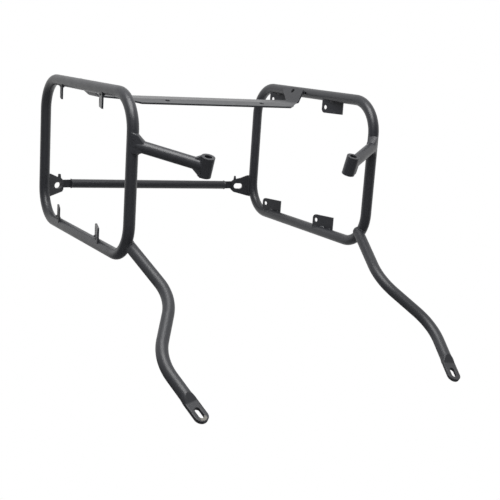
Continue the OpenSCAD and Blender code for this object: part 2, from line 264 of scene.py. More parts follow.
def within(points: Points, ring: Points) -> Points:
    """Which plan points lie inside a ring.

    A ray along +X from such a point crosses the ring an odd number of times.

    Args:
        points: the points, (points, 2).
        ring: corners of the ring in order, (corners, 2).

    Returns:
        Whether each point lies inside.
    """
    a, b = ring, np.roll(ring, -1, axis=0)
    x, y = points[:, :1], points[:, 1:]
    rise = np.where(a[:, 1] == b[:, 1], 1.0, b[:, 1] - a[:, 1])
    cross_x = a[:, 0] + (y - a[:, 1]) / rise * (b[:, 0] - a[:, 0])
    crossed = ((a[:, 1] > y) != (b[:, 1] > y)) & (x < cross_x)
    return crossed.sum(axis=1) % 2 == 1


@dataclass(frozen=True)
class FilletWeld:
    """A run of weld in the corner between two faces, in mm.

    Crown and swell are shares of the weld's width. The fewest steps and the
    least share of the end's quarter circle keep short welds closed.
    """

    crown: float = 0.10
    ripple: float = 2.4
    swell: float = 0.06
    sink: float = 0.30
    step: float = 0.6
    across: int = 8
    fewest: int = 8
    least: float = 0.02

    def steps(self, lines: Points, closed: bool) -> tuple[Points, Points]:
        """Lines cut into equal steps along the first of them.

        Args:
            lines: points of each line, (points, lines, 3).
            closed: whether the lines run back into their start.

        Returns:
            The lines at the steps, and each step's way along the first line.
        """
        if closed:
            lines = np.concatenate([lines, lines[:1]])
        run = np.r_[0, np.cumsum(np.linalg.norm(np.diff(lines[:, 0], axis=0), axis=1))]
        count = max(int(run[-1] / self.step), self.fewest)
        way = np.linspace(0, run[-1], count, endpoint=not closed)
        columns = lines.reshape(len(lines), -1).T
        cut = np.stack([np.interp(way, run, column) for column in columns], 1)
        return cut.reshape(count, -1, 3), way

    def shell(self, seam: Points, toe: Points, other_toe: Points, closed: bool) -> Shell:
        """Weld laid along a seam.

        At each step of the seam the weld's face runs from one toe to the
        other and is crowned: at the share w of the way it stands out by
        4w(1 - w) times the crown, which a cosine along the seam swells into
        ripples. The toes are sunk below the faces and the root twice as deep.
        The ends of an open weld draw in to the root on a quarter circle.

        Args:
            seam: points where the two faces meet.
            toe: at each point, where the weld ends on the first face.
            other_toe: the same on the second face.
            closed: whether the seam runs back into its start.

        Returns:
            Vertices and faces of the weld, a closed shell facing outwards.
        """
        lines, way = self.steps(np.stack([seam, toe, other_toe], 1), closed)
        root, a, b = lines[:, 0], lines[:, 1], lines[:, 2]
        span = np.linalg.norm(b - a, axis=1)
        out = unit((a + b) / 2 - root)
        w = np.linspace(0, 1, self.across)[None, :, None]
        wave = 1 + self.swell / self.crown * np.cos(2 * np.pi * way / self.ripple)
        rise = (4 * w * (1 - w)) * (self.crown * span * wave)[:, None, None] - self.sink
        face = a[:, None] * (1 - w) + b[:, None] * w + out[:, None] * rise
        ring = np.concatenate([face, (root - out * 2 * self.sink)[:, None]], 1)
        along = np.roll(root, -1, axis=0) - np.roll(root, 1, axis=0)
        if (np.cross(a - root, b - root) * along)[1:-1].sum() < 0:
            ring = ring[:, ::-1]
        if not closed:
            share = np.clip(np.minimum(way, way[-1] - way) / span, self.least, 1)
            draw = np.sqrt(1 - (1 - share) ** 2)[:, None, None]
            ring = root[:, None] + (ring - root[:, None]) * draw
        return ring.reshape(-1, 3), tube_faces(len(way), self.across + 1, closed)


# Shader tools


def linear(code: str) -> tuple[float, float, float, float]:
    """Linear colour of an sRGB hex code, by the standard's own curve.

    Args:
        code: the colour, such as #232428.

    Returns:
        Red, green, blue and full alpha.
    """
    srgb = [int(code[i : i + 2], 16) / 255 for i in (1, 3, 5)]
    r, g, b = (c / 12.92 if c <= 0.04045 else ((c + 0.055) / 1.055) ** 2.4 for c in srgb)
    return r, g, b, 1.0


def node(tree: Tree, kind: str, settings: dict, links: dict) -> Node:
    """Adds a node.

    Args:
        tree: the node tree.
        kind: the node's type.
        settings: properties by name, or socket values by socket name or number.
        links: output sockets of other nodes, by this node's input socket.

    Returns:
        The new node.
    """
    made = tree.nodes.new(kind)
    for key, value in settings.items():
        if isinstance(key, str) and hasattr(made, key):
            setattr(made, key, value)
        else:
            made.inputs[key].default_value = value
    for key, output in links.items():
        tree.links.new(output, made.inputs[key])
    return made


def empty_tree(owner: Material | World) -> Tree:
    """Node tree of a material or a world, switched on and emptied."""
    owner.use_nodes = True
    owner.node_tree.nodes.clear()
    return owner.node_tree


def place(tree: Tree, kind: str = "Object") -> Socket:
    """Coordinates of the point that is shaded."""
    return node(tree, "ShaderNodeTexCoord", {}, {}).outputs[kind]


def maths(tree: Tree, operation: str, *values: float | Socket) -> Socket:
    """Result of one operation.

    Args:
        tree: the node tree.
        operation: the operation, as the maths node names it.
        values: its inputs in order, each a number or another node's output.

    Returns:
        The output that holds the result.
    """
    fixed = {i: v for i, v in enumerate(values) if isinstance(v, float)}
    linked = {i: v for i, v in enumerate(values) if not isinstance(v, float)}
    return node(tree, "ShaderNodeMath", {"operation": operation, **fixed}, linked).outputs[0]


def ramp(tree: Tree, value: Socket, span: Pair, ends: Pair, curve: str = "LINEAR") -> Socket:
    """A value carried from one range to another and held at its ends.

    Args:
        tree: the node tree.
        value: the value.
        span: the range that it comes from.
        ends: the range that it goes to.
        curve: how it goes from end to end, as the node names it.

    Returns:
        The output that holds the result.
    """
    settings = {"interpolation_type": curve, "From Min": span[0], "From Max": span[1]}
    settings |= {"To Min": ends[0], "To Max": ends[1]}
    return node(tree, "ShaderNodeMapRange", settings, {"Value": value}).outputs["Result"]


def blend(tree: Tree, share: Socket, first: Socket, second: Socket) -> Socket:
    """Shader that goes from the first to the second with the share."""
    links = {0: share, 1: first, 2: second}
    return node(tree, "ShaderNodeMixShader", {}, links).outputs[0]


@dataclass(frozen=True)
class Noise:
    """A noise pattern: its wavelength in mm, its octaves and their strength."""

    wave: float
    detail: float
    roughness: float

    def add(self, tree: Tree) -> Socket:
        """Adds the pattern, laid in Object coordinates.

        Args:
            tree: the node tree.

        Returns:
            The output that holds its value, which keeps within 0 and 1.
        """
        settings = {"Scale": 1 / (self.wave * MM), "Detail": self.detail}
        settings["Roughness"] = self.roughness
        links = {"Vector": place(tree)}
        return node(tree, "ShaderNodeTexNoise", settings, links).outputs["Fac"]


# Finishes


@dataclass(frozen=True)
class PowderCoat:
    """Polyester powder coat, sprayed dry and baked on steel, satin black.

    To the eye it is a near-black plastic skin: broad soft highlights, fine
    orange peel, and no metal showing. The peel has its real wavelength of
    2 to 3 mm.
    """

    name: str = "satin_black_powder_coat"
    colour: str = "#232428"
    thin_colour: str = "#2a2b2f"
    roughness: float = 0.38
    roughness_spread: float = 0.03
    ior: float = 1.5
    drift: Noise = Noise(55.0, 2.0, 0.5)
    grain: Noise = Noise(14.4, 3.0, 0.6)
    grain_span: Pair = (0.3, 0.7)
    peel: Noise = Noise(2.4, 1.0, 0.4)
    peel_height: float = 0.004
    edge_round: float = 0.6
    edge_samples: int = 8

    def film(self, tree: Tree) -> Socket:
        """Colour of the film.

        Its thickness drifts over a hand's breadth and lightens the black.

        Args:
            tree: the node tree.

        Returns:
            The output that holds the colour.
        """
        settings = {"data_type": "RGBA", 6: linear(self.colour), 7: linear(self.thin_colour)}
        links = {0: self.drift.add(tree)}
        return node(tree, "ShaderNodeMix", settings, links).outputs[2]

    def normal(self, tree: Tree) -> Socket:
        """Normal of the coat: orange peel over softened edges.

        Args:
            tree: the node tree.

        Returns:
            The output that holds the normal.
        """
        settings = {"samples": self.edge_samples, "Radius": self.edge_round * MM}
        edge = node(tree, "ShaderNodeBevel", settings, {}).outputs["Normal"]
        settings = {"Strength": 1.0, "Distance": self.peel_height * MM}
        links = {"Height": self.peel.add(tree), "Normal": edge}
        return node(tree, "ShaderNodeBump", settings, links).outputs["Normal"]

    def material(self) -> Material:
        """The coat as a material.

        Returns:
            The material.
        """
        mat = bpy.data.materials.new(self.name)
        tree = empty_tree(mat)
        spread = self.roughness_spread
        ends = (self.roughness - spread, self.roughness + spread)
        links = {
            "Base Color": self.film(tree),
            "Roughness": ramp(tree, self.grain.add(tree), self.grain_span, ends),
            "Normal": self.normal(tree),
        }
        shader = node(tree, "ShaderNodeBsdfPrincipled", {"IOR": self.ior}, links)
        node(tree, "ShaderNodeOutputMaterial", {}, {"Surface": shader.outputs[0]})
        return mat


@dataclass(frozen=True)
class PressedCoat(PowderCoat):
    """The same coat on the legs, a little duller.

    Their feet are tube pressed flat, which rounds its edges widely.
    """

    name: str = "powder_coat_on_pressed_tube"
    roughness: float = 0.44
    edge_round: float = 3.0


@dataclass(frozen=True)
class GreyPatchCoat(PressedCoat):
    """The same coat with one light grey patch, a ragged crescent at the foot's rim."""

    name: str = "black_powder_coat_with_grey_patch"
    # colour of a light grey crescent patch at the foot's rim
    patch_colour: str = "#73716a"
    centre: Place = (-230.8, -433.7, -400.1)
    reach: float = 7.0
    ragged: Noise = Noise(2.0, 3.0, 0.6)
    slot_end: Place = (-233.0, -428.5, -396.8)
    rim: float = 9.4
    fade: float = 1.6

    def film(self, tree: Tree) -> Socket:
        """Colour of the film and of the patch.

        The patch is a crescent: what the ball of the given reach about its
        centre and the ball out to the foot's rim about the slot's end have in
        common. A noise moves the first one in and out, from 1.5 reaches down
        to half of one, and both fade.

        Args:
            tree: the node tree.

        Returns:
            The output that holds the colour.
        """

        def away(point: Place) -> Socket:
            """Distance from a point."""
            settings = {"operation": "DISTANCE", 1: tuple(c * MM for c in point)}
            return node(tree, "ShaderNodeVectorMath", settings, {0: place(tree)}).outputs["Value"]

        reach = self.reach * MM
        ball = maths(tree, "MULTIPLY_ADD", self.ragged.add(tree), -reach, 1.5 * reach)
        ball_depth = maths(tree, "SUBTRACT", ball, away(self.centre))
        rim_depth = maths(tree, "SUBTRACT", self.rim * MM, away(self.slot_end))
        depth = maths(tree, "MINIMUM", ball_depth, rim_depth)
        patch = ramp(tree, depth, (0.0, self.fade * MM), (0.0, 1.0))
        settings = {"data_type": "RGBA", 7: linear(self.patch_colour)}
        links = {0: patch, 6: super().film(tree)}
        return node(tree, "ShaderNodeMix", settings, links).outputs[2]


def dress(obj: Object, material: Material) -> None:
    """Gives an object one material in every slot it has.

    Args:
        obj: the object.
        material: its finish.
    """
    slots = obj.data.materials
    if not slots:
        slots.append(material)
    for i in range(len(slots)):
        slots[i] = material


# Sub-assemblies


@dataclass(frozen=True)
class LoopTube:
    """One loop: a round tube bent to a rounded rectangle at constant X."""

    off_mid: float = 232.5
    length: float = 396.0
    height: float = 259.0
    corner: float = 58.0
    mid_y: float = 35.0
    mid_z: float = -110.5
    radius: float = 9.5

    @property
    def front(self) -> float:
        """Y of the front upright's centre line."""
        return self.mid_y - self.length / 2

    @property
    def rear(self) -> float:
        """Y of the rear upright's centre line."""
        return self.mid_y + self.length / 2

    @property
    def top(self) -> float:
        """Z of the top tube's centre line."""
        return self.mid_z + self.height / 2

    @property
    def bottom(self) -> float:
        """Z of the bottom tube's centre line."""
        return self.mid_z - self.height / 2

    def distance(self, points: Points) -> Points:
        """Signed distance to the left loop's surface.

        In the loop's plane the way to the centre line is that to a rounded
        rectangle. With the way across the plane it makes a right angle, and
        the tube's radius comes off the long side.

        Args:
            points: points in mm, with X, Y and Z along the last axis.

        Returns:
            The distance of each, negative inside the tube.
        """
        y = np.abs(points[..., 1] - self.mid_y) - (self.length / 2 - self.corner)
        z = np.abs(points[..., 2] - self.mid_z) - (self.height / 2 - self.corner)
        plane = np.hypot(np.maximum(y, 0), np.maximum(z, 0))
        plane = plane + np.minimum(np.maximum(y, z), 0) - self.corner
        return np.hypot(points[..., 0] - self.off_mid, plane) - self.radius


@dataclass
class Welded:
    """What is welded to one loop, worked out for the vehicle's left side."""

    loop: LoopTube
    side: Side
    weld: FilletWeld = FilletWeld()

    def lay(
        self, seam: Points, toe: Points, other: Points, met: Points, closed: bool = False
    ) -> Shell:
        """Weld along the lines that met the surface, on the part's own side.

        The left side's points become the right side's by the sign of X.

        Args:
            seam: points where the two faces meet.
            toe: at each point, where the weld ends on the part.
            other: the same on what carries the part.
            met: which of the points hold.
            closed: whether the seam runs back into its start.

        Returns:
            The weld's shell.
        """
        own_side = np.array([self.side.value, 1.0, 1.0])
        lines = (points[met] * own_side for points in (seam, toe, other))
        return self.weld.shell(*lines, closed)

    def stitch(
        self, lines: Points, way: Points, reach: float, legs: Pair, out: Points
    ) -> Shell:
        """Weld where a sheet's face runs into the tube.

        Lines lie on the face and come in from outside. The seam is where each
        first meets the tube.

        Args:
            lines: the lines' points nearest to the tube's centre line.
            way: direction of all lines, away from the tube.
            reach: how far out they begin.
            legs: the weld's legs on the sheet and on the tube.
            out: the face's normal.

        Returns:
            The weld's shell.
        """

        def path(q: Points) -> Points:
            """Points of the lines."""
            return lines + way * q[..., None]

        q, met = first_touch(path, reach, 0.0, len(lines), self.loop.distance)
        seam = path(q)
        other = settle(seam + out * legs[1], self.loop.distance)
        return self.lay(seam, path(q + legs[0]), other, met)

    def piece(self, word: str, shells: list[Shell]) -> Object:
        """Shells as one object, named after the side and the word."""
        return make_mesh(f"{self.side.name.lower()}_{word}", shells)


@dataclass
class Tabs(Welded):
    """Four case tabs in one loop, each stitched to the tube on both faces."""

    thickness: float = 3.0
    turn: float = 17.0
    depth: float = 31.5
    front: float = 129.5
    rear: float = 81.0
    legs: Pair = (3.4, 3.4)
    stitches: tuple[Pair, ...] = ((-22, -16), (-5.5, 5.5), (15, 22))
    samples: int = 24

    def build(self) -> Object:
        """The stitches of all four tabs as one piece.

        Their lines stand upright on the tab's face, spaced along the tab.

        Returns:
            The piece.
        """
        loop, a = self.loop, math.radians(self.turn)
        along = np.array([-math.sin(a), math.cos(a), 0])
        square = np.array([math.cos(a), math.sin(a), 0])
        places = (loop.front + self.front, loop.rear - self.rear)
        shells = []
        for row, y, face, ends in product(Row, places, BOTH_FACES, self.stitches):
            tube = loop.top if row is Row.UPPER else loop.bottom
            out = square * face
            u = np.linspace(*ends, self.samples)[:, None]
            lines = np.array([loop.off_mid, y, tube]) + along * u + out * self.thickness / 2
            shells.append(self.stitch(lines, -row.value * UP, self.depth, self.legs, out))
        return self.piece("tab_welds", shells)


@dataclass
class Arm(Welded):
    """Arm tube from the front upright to the boss sleeve, welded at both ends.

    The search for a seam begins at a share of the centre line's length, and
    the root's ends behind the centre line's start.
    """

    radius: float = 9.75
    drop: float = 75.0
    forward: float = 4.0
    root_half: float = 8.25
    flare: float = 18.0
    flare_reach: float = 6.5
    web: float = 14.0
    web_share: float = 0.97
    web_grow: float = 13.0
    web_reach: float = 9.0
    boss_x: float = 138.0
    boss_forward: float = 65.5
    boss_drop: float = 26.0
    boss_radius: float = 11.0
    boss_length: float = 33.0
    boss_lean: float = 19.0
    root_leg: float = 1.4
    root_sag: float = 0.6
    root_from: float = 0.4
    root_to: float = -20.0
    end_share: float = 0.95
    corner_reach: float = 1.4
    boss_leg: float = 1.8
    boss_from: float = 0.6
    boss_edge: float = 0.4
    rays: int = 160
    weld: FilletWeld = FilletWeld(crown=0.04, swell=0.03)

    @property
    def root(self) -> Points:
        """Where the arm's centre line starts on the upright."""
        loop = self.loop
        return np.array([loop.off_mid, loop.front - self.forward, loop.top - self.drop])

    @property
    def boss(self) -> Points:
        """Middle of the boss sleeve."""
        y, z = self.loop.front - self.boss_forward, self.root[2] - self.boss_drop
        return np.array([self.boss_x, y, z])

    @property
    def boss_axis(self) -> Points:
        """Direction of the boss sleeve, upwards."""
        a = math.radians(self.boss_lean)
        return np.array([0.0, -math.sin(a), math.cos(a)])

    @property
    def length(self) -> float:
        """Length of the arm's centre line."""
        return float(np.linalg.norm(self.boss - self.root))

    @property
    def round(self) -> tuple[Points, Points, Points]:
        """The centre line's direction, the turns round it and the ways out there."""
        u, low, across = axes(self.boss - self.root)
        return u, *turns(low, across, self.rays)

    def boss_distance(self, points: Points) -> Points:
        """Signed distance to the boss sleeve's outer surface, ends left out.

        Args:
            points: points in mm.

        Returns:
            The way of each from the sleeve's axis, less the sleeve's radius.
        """
        rel = points - self.boss
        rel = rel - (rel @ self.boss_axis)[..., None] * self.boss_axis
        return np.linalg.norm(rel, axis=-1) - self.boss_radius

    def outline(self, s: Points, t: Points) -> Points:
        """Stand-off of the arm's surface from its centre line.

        Between its ends that is the tube's radius. Towards an end it is a
        cone cut by two planes: the smaller of the cone's radius and the half
        width over |sin t|.

        Args:
            s: way along the centre line.
            t: turn round it.

        Returns:
            The stand-off at each.
        """
        length = self.length
        slab = 1 / np.maximum(np.abs(np.sin(t)), TINY)
        start = length - self.boss_radius - self.web_reach
        thin, full = self.web_share * self.radius, self.radius + self.web_grow
        cone = thin + (full - thin) * (s - start) / (length - start)
        web = np.minimum(cone, slab * self.web / 2)
        top = self.loop.radius - self.flare_reach
        foot = self.loop.radius + self.flare_reach
        flare = np.interp(s, [top, foot], [self.flare, self.radius])
        drawn = np.interp(s, [0, foot], [self.root_half, self.radius])
        flare = np.maximum(np.minimum(flare, slab * self.root_half), drawn)
        return np.where(s > length / 2, np.maximum(web, self.radius), flare)

    def skin(self, s: Points) -> Points:
        """Points on the arm's side, s along the centre line at every turn."""
        u, t, ray = self.round
        return self.root + u * s[..., None] + self.outline(s, t)[..., None] * ray

    def root_shell(self) -> Shell:
        """Weld round the root.

        A line runs down the arm's side to the plane in which the arm ends,
        and from there across that plane towards the centre line. The seam is
        where it meets the upright. Where it has left the arm's side by then,
        the weld reaches back round the corner.

        Returns:
            The weld's shell.
        """
        u, t, ray = self.round
        ahead = unit(u * [1, 1, 0])

        def lack(points: Points) -> Points:
            """How far points are behind the plane in which the arm ends."""
            return np.maximum(self.forward - (points - self.root) @ ahead, 0)

        def path(s: Points) -> Points:
            """Points down the arm's side and on across the end plane."""
            points = self.skin(s)
            behind = lack(points)[..., None]
            points = points + ahead * behind
            level = points - self.root
            level = level - (level @ ahead)[..., None] * ahead
            most = np.linalg.norm(level, axis=-1, keepdims=True) * self.end_share
            return points - unit(level) * np.minimum(behind, most)

        start = self.root_from * self.length
        q, met = first_touch(path, start, self.root_to, self.rays, self.loop.distance)
        slide = lack(self.skin(q))
        corner = q + slide / (u @ ahead)
        leg = self.root_leg * (1 + self.root_sag * np.cos(t))
        back = ray * leg[:, None] - u * (self.corner_reach * slide)[:, None]
        other = settle(path(corner) + back, self.loop.distance)
        return self.lay(path(q), path(corner + leg), other, met, closed=True)

    def boss_shell(self) -> Shell:
        """Weld round the boss: where lines along the arm's side meet it.

        On the sleeve it keeps clear of both ends.

        Returns:
            The weld's shell.
        """
        start, stop = self.boss_from * self.length, self.length
        q, met = first_touch(self.skin, start, stop, self.rays, self.boss_distance)
        seam = self.skin(q)
        other = settle(seam + self.round[2] * self.boss_leg, self.boss_distance)
        level = (other - self.boss) @ self.boss_axis
        most = self.boss_length / 2 - self.boss_edge
        other = other + (np.clip(level, -most, most) - level)[:, None] * self.boss_axis
        return self.lay(seam, self.skin(q - self.boss_leg), other, met, closed=True)

    def build(self) -> Object:
        """Both welds as one piece."""
        return self.piece("arm_welds", [self.root_shell(), self.boss_shell()])


@dataclass
class Leg(Welded):
    """Leg tube whose closed root is welded round the loop's lower front bend.

    The knee is given as its X and its ways forward of the front upright and
    below the bottom tube. The search for the seam runs from above the root to
    inside it, and lean tips the weld's toe on the loop back along the leg.
    """

    radius: float = 9.5
    root_angle: float = 36.0
    inset: float = 5.0
    knee: Place = (200.5, 94.0, 37.5)
    search: Pair = (60.0, -15.0)
    leg: float = 2.2
    lean: float = 0.3
    rays: int = 140
    weld: FilletWeld = FilletWeld(crown=0.06, swell=0.05)

    def build(self) -> Object:
        """The weld as one piece.

        A line runs down the leg's side to its root and goes on round the
        ball that closes it. The seam is where each line first meets the bend.

        Returns:
            The piece.
        """
        loop, a = self.loop, math.radians(self.root_angle)
        x, forward, below = self.knee
        y = loop.front + loop.corner * (1 - math.cos(a))
        z = loop.bottom + loop.corner * (1 - math.sin(a))
        root = np.array([loop.off_mid - self.inset, y, z])
        u, low, across = axes(np.array([x, loop.front - forward, loop.bottom - below]) - root)
        ray = turns(low, across, self.rays)[1]

        def path(q: Points) -> Points:
            """Points down the leg for q above zero, then round the ball."""
            bend = np.clip(-q / self.radius, 0, np.pi / 2)[..., None]
            down = np.maximum(q, 0)[..., None]
            return root + u * down + self.radius * (np.cos(bend) * ray - np.sin(bend) * u)

        q, met = first_touch(path, *self.search, self.rays, loop.distance)
        seam = path(q)
        other = settle(seam + (ray - self.lean * u) * self.leg, loop.distance)
        shell = self.lay(seam, path(q + self.leg), other, met, closed=bool(met.all()))
        return self.piece("leg_weld", [shell])


@dataclass
class Gusset(Welded):
    """Gusset plate on the rear upright, welded along both faces."""

    turn: float = 20.0
    thickness: float = 4.0
    reach: float = 45.0
    top: float = 24.0
    base: float = 22.0
    end_gap: float = 1.0
    bar_rise: float = 51.5
    skew: float = 4.5
    slot_drop: float = 1.5
    legs: Pair = (3.0, 3.0)
    samples: int = 40

    def build(self) -> Object:
        """Both welds as one piece, their lines level on the gusset's face.

        Returns:
            The piece.
        """
        a = math.radians(self.turn)
        inboard = np.array([-math.cos(a), math.sin(a), 0])
        square = np.array([math.sin(a), math.cos(a), 0])
        bar = self.loop.bottom + self.bar_rise - self.side.value * self.skew
        base = np.array([self.loop.off_mid, self.loop.rear, bar - self.slot_drop])
        v = np.linspace(self.end_gap - self.base, self.top - self.end_gap, self.samples)
        shells = []
        for face in BOTH_FACES:
            out = square * face
            lines = base + out * self.thickness / 2 + UP * v[:, None]
            shells.append(self.stitch(lines, inboard, self.reach, self.legs, out))
        return self.piece("gusset_welds", shells)


@dataclass(frozen=True)
class TopPlate:
    """The bent sheet between the loops, in mm.

    It stands for the node top_plate. Lip, web and rack holes are that node's;
    the flanges climb a little steeper, lap onto the tubes instead of ending
    beside them, and have a full hole each. A rim's or hole's point is its way
    up the flange's slope and its Y. The facets' box spans the plan.
    """

    sheet: float = 3.0
    bend: float = 3.0
    lip_tilt: float = 12.0
    lip_front: float = 15.5
    lip_rear: float = 9.0
    lip_half: float = 151.0
    lip_cut_half: float = 165.0
    lip_cut_back: float = 12.0
    web_rear: float = 77.0
    rack_pitch: float = 192.0
    rack_hole: float = 9.0
    tilt: float = 55.0
    bend_x: float = 205.2
    foot_front: float = 43.6
    foot_rear: float = 86.4
    rim: tuple[Pair, ...] = ((26.0, 51.7), (30.9, 73.0), (23.1, 120.6))
    hole: Pair = (23.0, 83.9)
    hole_width: float = 9.0
    rim_points: int = 24
    hole_points: int = 48
    lip_facets: int = 4
    flange_facets: int = 8
    facets_half: float = 200.0
    facets_front: float = 20.0
    facets_rear: float = 140.0

    @property
    def slope(self) -> float:
        """Tilt of the flanges in radians."""
        return math.radians(self.tilt)

    @property
    def lip_slope(self) -> float:
        """Tilt of the lip in radians."""
        return math.radians(self.lip_tilt)

    @property
    def outer(self) -> float:
        """Radius of the top face round the lip's bend."""
        return self.bend + self.sheet

    @property
    def start(self) -> float:
        """Distance from the mirror plane to where the flange's bend starts."""
        return self.bend_x - self.bend * math.tan(self.slope / 2)

    @property
    def web_edge(self) -> Pair:
        """Y and Z of the top face where the lip's bend runs into the web."""
        a, rear, outer = self.lip_slope, self.lip_rear, self.outer
        z = rear * math.sin(a) + outer * (1 - math.cos(a))
        return rear * math.cos(a) + outer * math.sin(a), z

    def top(self, plan: Points) -> tuple[Points, Points]:
        """Top face over points of the plan.

        The lip falls forward at its tilt t below the web, after an arc on
        which the slope angle grows as sin p = way / radius. The flange climbs
        in the same manner at |X|. The two never meet, so their heights add.

        Args:
            plan: X and Y of the points.

        Returns:
            The points of the face, and its unit normal at each.
        """
        t, outer = self.lip_slope, self.outer
        web_y, web_z = self.web_edge
        fall = np.maximum(web_y - plan[:, 1], 0)
        p = np.arcsin(np.minimum(fall / outer, math.sin(t)))
        beyond = np.maximum(fall - outer * math.sin(t), 0)
        lip = web_z - outer * (1 - np.cos(p)) - beyond * math.tan(t)
        way = np.maximum(np.abs(plan[:, 0]) - self.start, 0)
        q = np.arcsin(np.minimum(way / self.bend, math.sin(self.slope)))
        beyond = np.maximum(way - self.bend * math.sin(self.slope), 0)
        climb = self.bend * (1 - np.cos(q)) + beyond * math.tan(self.slope)
        tip = -np.sign(plan[:, 0]) * np.tan(q)
        normal = np.stack([tip, -np.tan(p), np.ones(len(p))], 1)
        return np.column_stack([plan, lip + climb]), unit(normal)

    def edge(self, y: Points) -> Points:
        """Top corner of the left flange's upper edge.

        The edge's way up the slope is the parabola through the rim's points.

        Args:
            y: the Y of each point.

        Returns:
            The points.
        """
        way, at = zip(*self.rim)
        s = np.polyval(np.polyfit(at, way, 2), y)
        x = self.bend_x + s * math.cos(self.slope)
        return np.stack([x, y, self.web_edge[1] + s * math.sin(self.slope)], -1)

    def rings(self) -> list[Points]:
        """Outline of the plan, then its four holes, without repeated ends.

        Returns:
            The corners of each ring.
        """
        along = np.linspace(self.rim[0][1], self.rim[-1][1], self.rim_points)
        cut = self.lip_cut_back - self.lip_front
        half = np.concatenate(
            [
                [(self.lip_half, -self.lip_front), (self.lip_cut_half, cut)],
                [(self.start, self.foot_front), (self.bend_x, self.foot_front)],
                self.edge(along)[:, :2],
                [(self.bend_x, self.foot_rear), (self.start, self.foot_rear)],
                [(self.lip_half, self.web_rear)],
            ]
        )
        t = np.linspace(0, 2 * np.pi, self.hole_points, endpoint=False)
        circle = np.stack([np.cos(t), np.sin(t)], 1)
        rack = circle * (1, math.cos(self.lip_slope)) * self.rack_hole / 2
        high = circle * (math.cos(self.slope), 1) * self.hole_width / 2
        at = (self.bend_x + self.hole[0] * math.cos(self.slope), self.hole[1])
        other = np.array([-1.0, 1.0])
        return [
            np.concatenate([half, half[::-1] * other]),
            rack + (self.rack_pitch / 2, 0),
            rack - (self.rack_pitch / 2, 0),
            high + at,
            (high + at) * other,
        ]

    def rows(self) -> Points:
        """Lines across the plan between the bends' facets.

        Returns:
            Both ends of each line.
        """
        p = np.radians(np.linspace(0, self.lip_tilt, self.lip_facets + 1))
        across = self.web_edge[0] - self.outer * np.sin(p)
        q = np.linspace(0, self.slope, self.flange_facets + 1)
        x = self.start + self.bend * np.sin(q)
        half, near, far = self.facets_half, self.facets_front, self.facets_rear
        ends = [[(-half, y), (half, y)] for y in across]
        return np.array(ends + [[(c, near), (c, far)] for c in np.concatenate([x, -x])])

    def triangles(self) -> tuple[Points, Points]:
        """Triangles between the outline and the holes, all facing up.

        Returns:
            The plan's points, and the corners of each triangle.
        """
        rings, rows = self.rings(), self.rows()
        points = np.concatenate(rings + [rows.reshape(-1, 2)])
        edges, first = [], 0
        for ring in rings:
            k = np.arange(len(ring))
            edges += (first + np.stack([k, np.roll(k, -1)], 1)).tolist()
            first += len(ring)
        edges += (first + np.arange(2 * len(rows)).reshape(-1, 2)).tolist()
        made = delaunay_2d_cdt([Vector(p) for p in points.tolist()], edges, [], 0, TINY)
        plan, tris = np.array([v[:] for v in made[0]]), np.array(made[2])
        corner = plan[tris]
        side_a, side_b = corner[:, 1] - corner[:, 0], corner[:, 2] - corner[:, 0]
        area = side_a[:, 0] * side_b[:, 1] - side_a[:, 1] * side_b[:, 0]
        tris[area < 0] = tris[area < 0][:, ::-1]
        middle = corner.mean(axis=1)
        keep = within(middle, rings[0]) & (np.abs(area) > SLIVER)
        for ring in rings[1:]:
            keep &= ~within(middle, ring)
        used, tris = np.unique(tris[keep], return_inverse=True)
        return plan[used], tris.reshape(-1, 3)

    def build(self) -> Object:
        """The sheet as one closed piece with exact normals.

        The lower face is the upper one set back by the sheet's thickness
        along its normal. A wall joins them along every free edge.

        Returns:
            The piece.
        """
        plan, tris = self.triangles()
        top, normal = self.top(plan)
        n = len(plan)
        sides = np.concatenate([tris[:, [0, 1]], tris[:, [1, 2]], tris[:, [2, 0]]])
        free = sides[~np.isin(sides @ [n, 1], sides[:, ::-1] @ [n, 1])]
        a, b = free[:, 0], free[:, 1]
        verts = np.concatenate([top, top - normal * self.sheet])
        walls = np.stack([a + n, b + n, b, a], 1)
        faces = tris.tolist() + (tris[:, ::-1] + n).tolist() + walls.tolist()
        piece = make_mesh("top_plate_sheet", [(verts, faces)])
        wall_normal = unit(np.cross(top[b] - top[a], normal[a] + normal[b]))
        normals = [normal[tris.ravel()], -normal[tris[:, ::-1].ravel()]]
        normals = np.concatenate(normals + [np.repeat(wall_normal, 4, axis=0)])
        piece.data.normals_split_custom_set(normals.tolist())
        return piece


@dataclass
class Flange(Welded):
    """Weld stitches between a flange's upper edge and the top tube."""

    plate: TopPlate = TopPlate()
    legs: Pair = (0.8, 4.0)
    stitches: tuple[Pair, ...] = ((55.0, 73.0), (97.0, 114.0))
    samples: int = 30

    def build(self) -> Object:
        """The stitches as one piece, rooted where the sheet's edge meets the tube.

        Returns:
            The piece.
        """
        a = self.plate.slope
        climb = np.array([math.cos(a), 0, math.sin(a)])
        normal = np.array([-math.sin(a), 0, math.cos(a)])
        met = np.ones(self.samples, dtype=bool)
        shells = []
        for ends in self.stitches:
            edge = self.plate.edge(np.linspace(*ends, self.samples))
            seam = settle(edge - normal * self.plate.sheet, self.loop.distance)
            other = settle(edge + climb * self.legs[1], self.loop.distance)
            shells.append(self.lay(seam, edge - climb * self.legs[0], other, met))
        return self.piece("flange_welds", shells)


# Studio


